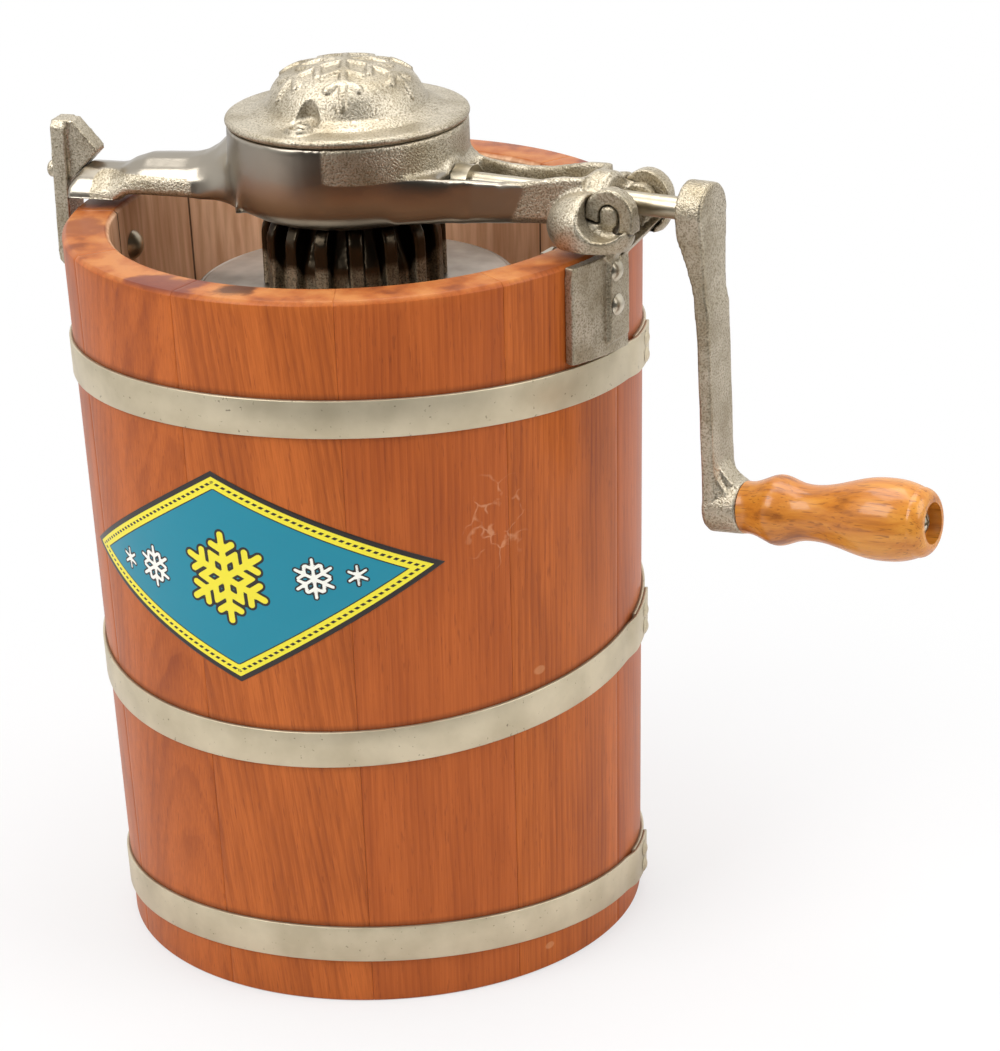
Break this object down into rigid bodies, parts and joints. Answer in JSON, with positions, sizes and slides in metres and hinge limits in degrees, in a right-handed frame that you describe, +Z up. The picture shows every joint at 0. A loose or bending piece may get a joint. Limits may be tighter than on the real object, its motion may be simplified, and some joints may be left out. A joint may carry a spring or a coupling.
{
  "type": "hand crank ice cream freezer",
  "caption": "Hand cranked ice cream freezer: hooped wooden tub, latched gear frame with side crank, and a lidded can that turns against its dasher.",
  "frame": {"origin": "centre of the tub's foot ring, on the floor", "axes": "+Z up along the tub's axis, +X along the crank shaft towards the crank, +Y to the back, away from the label"},
  "size_m": [0.4269, 0.2605, 0.4056],
  "materials": {
    "tub_wood": "varnished softwood, worn",
    "bottom_wood": "bare softwood",
    "handle_wood": "varnished turned hardwood",
    "scraper_wood": "bare hardwood",
    "galvanised_hoop": "dull galvanised",
    "plated_casting": "nickel plated casting",
    "tinned_casting": "tinned casting",
    "steel_fittings": "dull plated",
    "tinplate": "tinned sheet",
    "label_paper": "printed paper"
  },
  "bodies": {
    "tub": {"stave_01": "tub_wood", "stave_02": "tub_wood", "stave_03": "tub_wood", "stave_04": "tub_wood", "stave_05": "tub_wood", "stave_06": "tub_wood", "stave_07": "tub_wood", "stave_08": "tub_wood", "stave_09": "tub_wood", "stave_10": "tub_wood", "stave_11": "tub_wood", "bottom_board_1": "bottom_wood", "bottom_board_2": "bottom_wood", "bottom_board_3": "bottom_wood", "hoop_top": "galvanised_hoop", "hoop_middle": "galvanised_hoop", "hoop_bottom": "galvanised_hoop", "hoop_rivets": "galvanised_hoop", "label": "label_paper", "ear": "plated_casting", "ear_bolts": "steel_fittings", "ear_nuts": "steel_fittings", "latch_rivet": "steel_fittings", "pivot_plate": "tinned_casting", "pivot_screws": "steel_fittings", "gear_frame": "plated_casting", "cover": "plated_casting", "cover_screws": "steel_fittings"},
    "latch": {"latch": "plated_casting"},
    "crank": {"crank_shaft": "steel_fittings", "pinion": "plated_casting", "pinion_pin": "steel_fittings", "shaft_collar": "steel_fittings", "collar_pin": "steel_fittings", "crank_arm": "plated_casting", "handle_screw": "steel_fittings"},
    "handle": {"handle_grip": "handle_wood"},
    "can": {"can_body": "tinplate", "can_socket": "tinned_casting", "can_lid": "tinplate", "lid_gear": "plated_casting", "lid_rivets": "steel_fittings", "beater": "tinned_casting"},
    "dasher": {"dasher_gear": "plated_casting", "dasher_frame": "tinned_casting", "scraper_front": "scraper_wood", "scraper_back": "scraper_wood", "scraper_pins": "steel_fittings"}
  },
  "joints": [
    {"name": "latch_swing", "type": "hinge", "parent": "tub", "child": "latch", "pos_m": [-0.13596, -0.0289, 0.312], "axis": [-0.9781, -0.2079, 0], "range_deg": [-40, 40]},
    {"name": "crank_spin", "type": "hinge", "parent": "tub", "child": "crank", "pos_m": [0.15, 0, 0.3544], "axis": [1, 0, 0], "continuous": true},
    {"name": "handle_spin", "type": "hinge", "parent": "crank", "child": "handle", "pos_m": [0.1931, 0.00395, 0.22146], "axis": [0.9971, -0.0023, 0.0767], "continuous": true},
    {"name": "can_spin", "type": "hinge", "parent": "tub", "child": "can", "pos_m": [0, 0, 0.05], "axis": [0, 0, 1], "continuous": true},
    {"name": "dasher_spin", "type": "hinge", "parent": "tub", "child": "dasher", "pos_m": [0, 0, 0.38], "axis": [0, 0, 1], "continuous": true}
  ],
  "couplings": [
    {"joint": "can_spin", "follows": "crank_spin", "ratio": 0.5},
    {"joint": "dasher_spin", "follows": "crank_spin", "ratio": -0.5}
  ]
}
